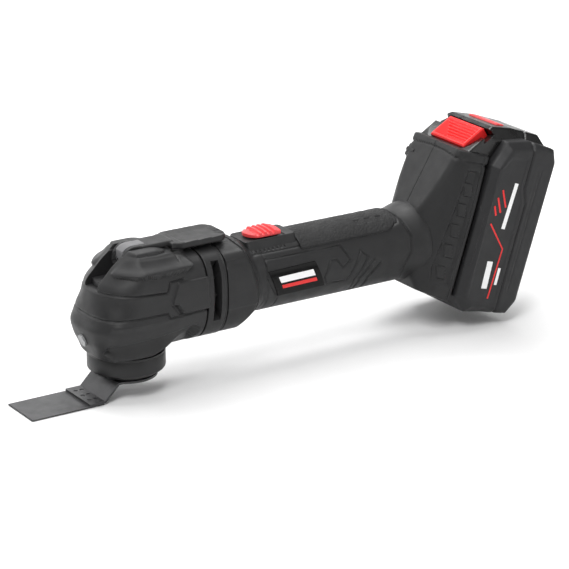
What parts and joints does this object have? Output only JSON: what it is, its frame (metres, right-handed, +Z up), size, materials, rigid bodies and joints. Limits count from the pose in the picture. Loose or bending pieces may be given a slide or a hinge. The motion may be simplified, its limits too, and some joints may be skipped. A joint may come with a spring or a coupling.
{
  "type": "cordless oscillating multi-tool",
  "caption": "Cordless oscillating multi-tool with quick-release blade lever, slide switch, speed dial, plunge-cut blade and a slide-on battery pack.",
  "frame": {"origin": "bottom centre of the whole tool's bounding box, at the height of the blade's underside", "axes": "+X along the handle from the blade to the battery, +Z up through the clamp lever, +Y to the far side of the tool"},
  "size_m": [0.3828, 0.074, 0.14],
  "materials": {
    "head_plastic": "moulded satin grain",
    "housing_plastic": "moulded fine grain",
    "collar_black": "smooth satin",
    "soft_grip": "textured over-mould",
    "cast_alloy": "as cast",
    "steel": "ground",
    "blade_steel": "dark oxide",
    "screw_steel": "blackened",
    "grey_inlay": "satin",
    "lens_clear": "frosted",
    "red_plastic": "moulded satin",
    "plate_gloss": "gloss",
    "pack_plastic": "moulded satin grain",
    "board_green": "circuit board",
    "copper": "drawn",
    "felt": "pressed felt",
    "magnet": "sintered",
    "winding": "enamelled copper over laminations",
    "cell_wrap": "heat-shrink wrap",
    "inner_plastic": "moulded"
  },
  "bodies": {
    "tool_body": {"head_cover": "head_plastic", "gear_case": "cast_alloy", "nose_collar": "collar_black", "vent_ring": "head_plastic", "motor_plate": "cast_alloy", "gear_case_screws": "screw_steel", "housing_near": "housing_plastic", "housing_far": "housing_plastic", "housing_screws": "screw_steel", "grip_strip": "soft_grip", "name_plate": "plate_gloss", "switch_plate": "housing_plastic", "led_lens": "lens_clear", "led_board": "board_green", "lever_pin": "steel", "lower_bearing": "steel", "upper_bearing": "steel", "dust_seal": "felt", "motor_can": "steel", "motor_magnets": "magnet", "motor_end_cap": "inner_plastic", "motor_bearings": "steel", "brushes": "copper", "microswitch": "inner_plastic", "control_board": "board_green", "speed_pot": "inner_plastic", "terminal_block": "inner_plastic", "terminal_blades": "copper"},
    "lever": {"clamp_lever": "head_plastic", "lever_strip": "grey_inlay", "cam_disc": "steel"},
    "output_spindle": {"spindle": "steel", "drive_flange": "steel", "drive_fork": "steel"},
    "accessory_clamp": {"draw_bar": "steel", "clamp_spring": "steel", "blade_shank": "blade_steel", "blade_plate": "blade_steel"},
    "rotor": {"motor_shaft": "steel", "armature": "winding", "commutator": "copper", "fan": "inner_plastic", "eccentric": "steel", "drive_bearing": "steel"},
    "power_slide": {"slide_button": "red_plastic", "switch_link": "inner_plastic"},
    "dial": {"speed_dial": "collar_black"},
    "battery_pack": {"battery_front_case": "pack_plastic", "battery_rear_case": "pack_plastic", "battery_cells": "cell_wrap", "cell_holder": "inner_plastic", "battery_board": "board_green", "battery_contacts": "copper", "battery_screws": "screw_steel"},
    "pack_latch": {"battery_latch": "red_plastic"},
    "charge_button": {"gauge_button": "red_plastic"}
  },
  "joints": [
    {"name": "lever_hinge", "type": "hinge", "parent": "tool_body", "child": "lever", "pos_m": [-0.11236, 0, 0.0858], "axis": [0, -1, 0], "range_deg": [0, 90]},
    {"name": "spindle_swing", "type": "hinge", "parent": "tool_body", "child": "output_spindle", "pos_m": [-0.11586, 0, 0.0333], "axis": [0, 0, 1], "range_deg": [-1.6, 1.6]},
    {"name": "clamp_drop", "type": "slide", "parent": "output_spindle", "child": "accessory_clamp", "axis": [0, 0, -1], "range_m": [0, 0.0031], "deforming": ["clamp_spring"]},
    {"name": "rotor_spin", "type": "hinge", "parent": "tool_body", "child": "rotor", "pos_m": [-0.03586, 0, 0.0583], "axis": [1, 0, 0], "continuous": true},
    {"name": "power_switch", "type": "slide", "parent": "tool_body", "child": "power_slide", "axis": [-1, 0, 0], "range_m": [0, 0.006]},
    {"name": "dial_turn", "type": "hinge", "parent": "tool_body", "child": "dial", "pos_m": [0.12006, 0, 0.11025], "axis": [0, 1, 0], "range_deg": [0, 270]},
    {"name": "pack_slide", "type": "slide", "parent": "tool_body", "child": "battery_pack", "axis": [0.309, 0, 0.9511], "range_m": [0, 0.1]},
    {"name": "latch_pull", "type": "slide", "parent": "battery_pack", "child": "pack_latch", "axis": [0.9511, 0, -0.309], "range_m": [0, 0.003], "stiffness_N_per_m": 900, "springref_m": -0.002},
    {"name": "gauge_press", "type": "slide", "parent": "battery_pack", "child": "charge_button", "axis": [-0.309, 0, -0.9511], "range_m": [0, 0.001], "stiffness_N_per_m": 800, "springref_m": -0.001}
  ],
  "couplings": [
    {"joint": "clamp_drop", "follows": "lever_hinge", "m_per_rad": 0.0019}
  ]
}
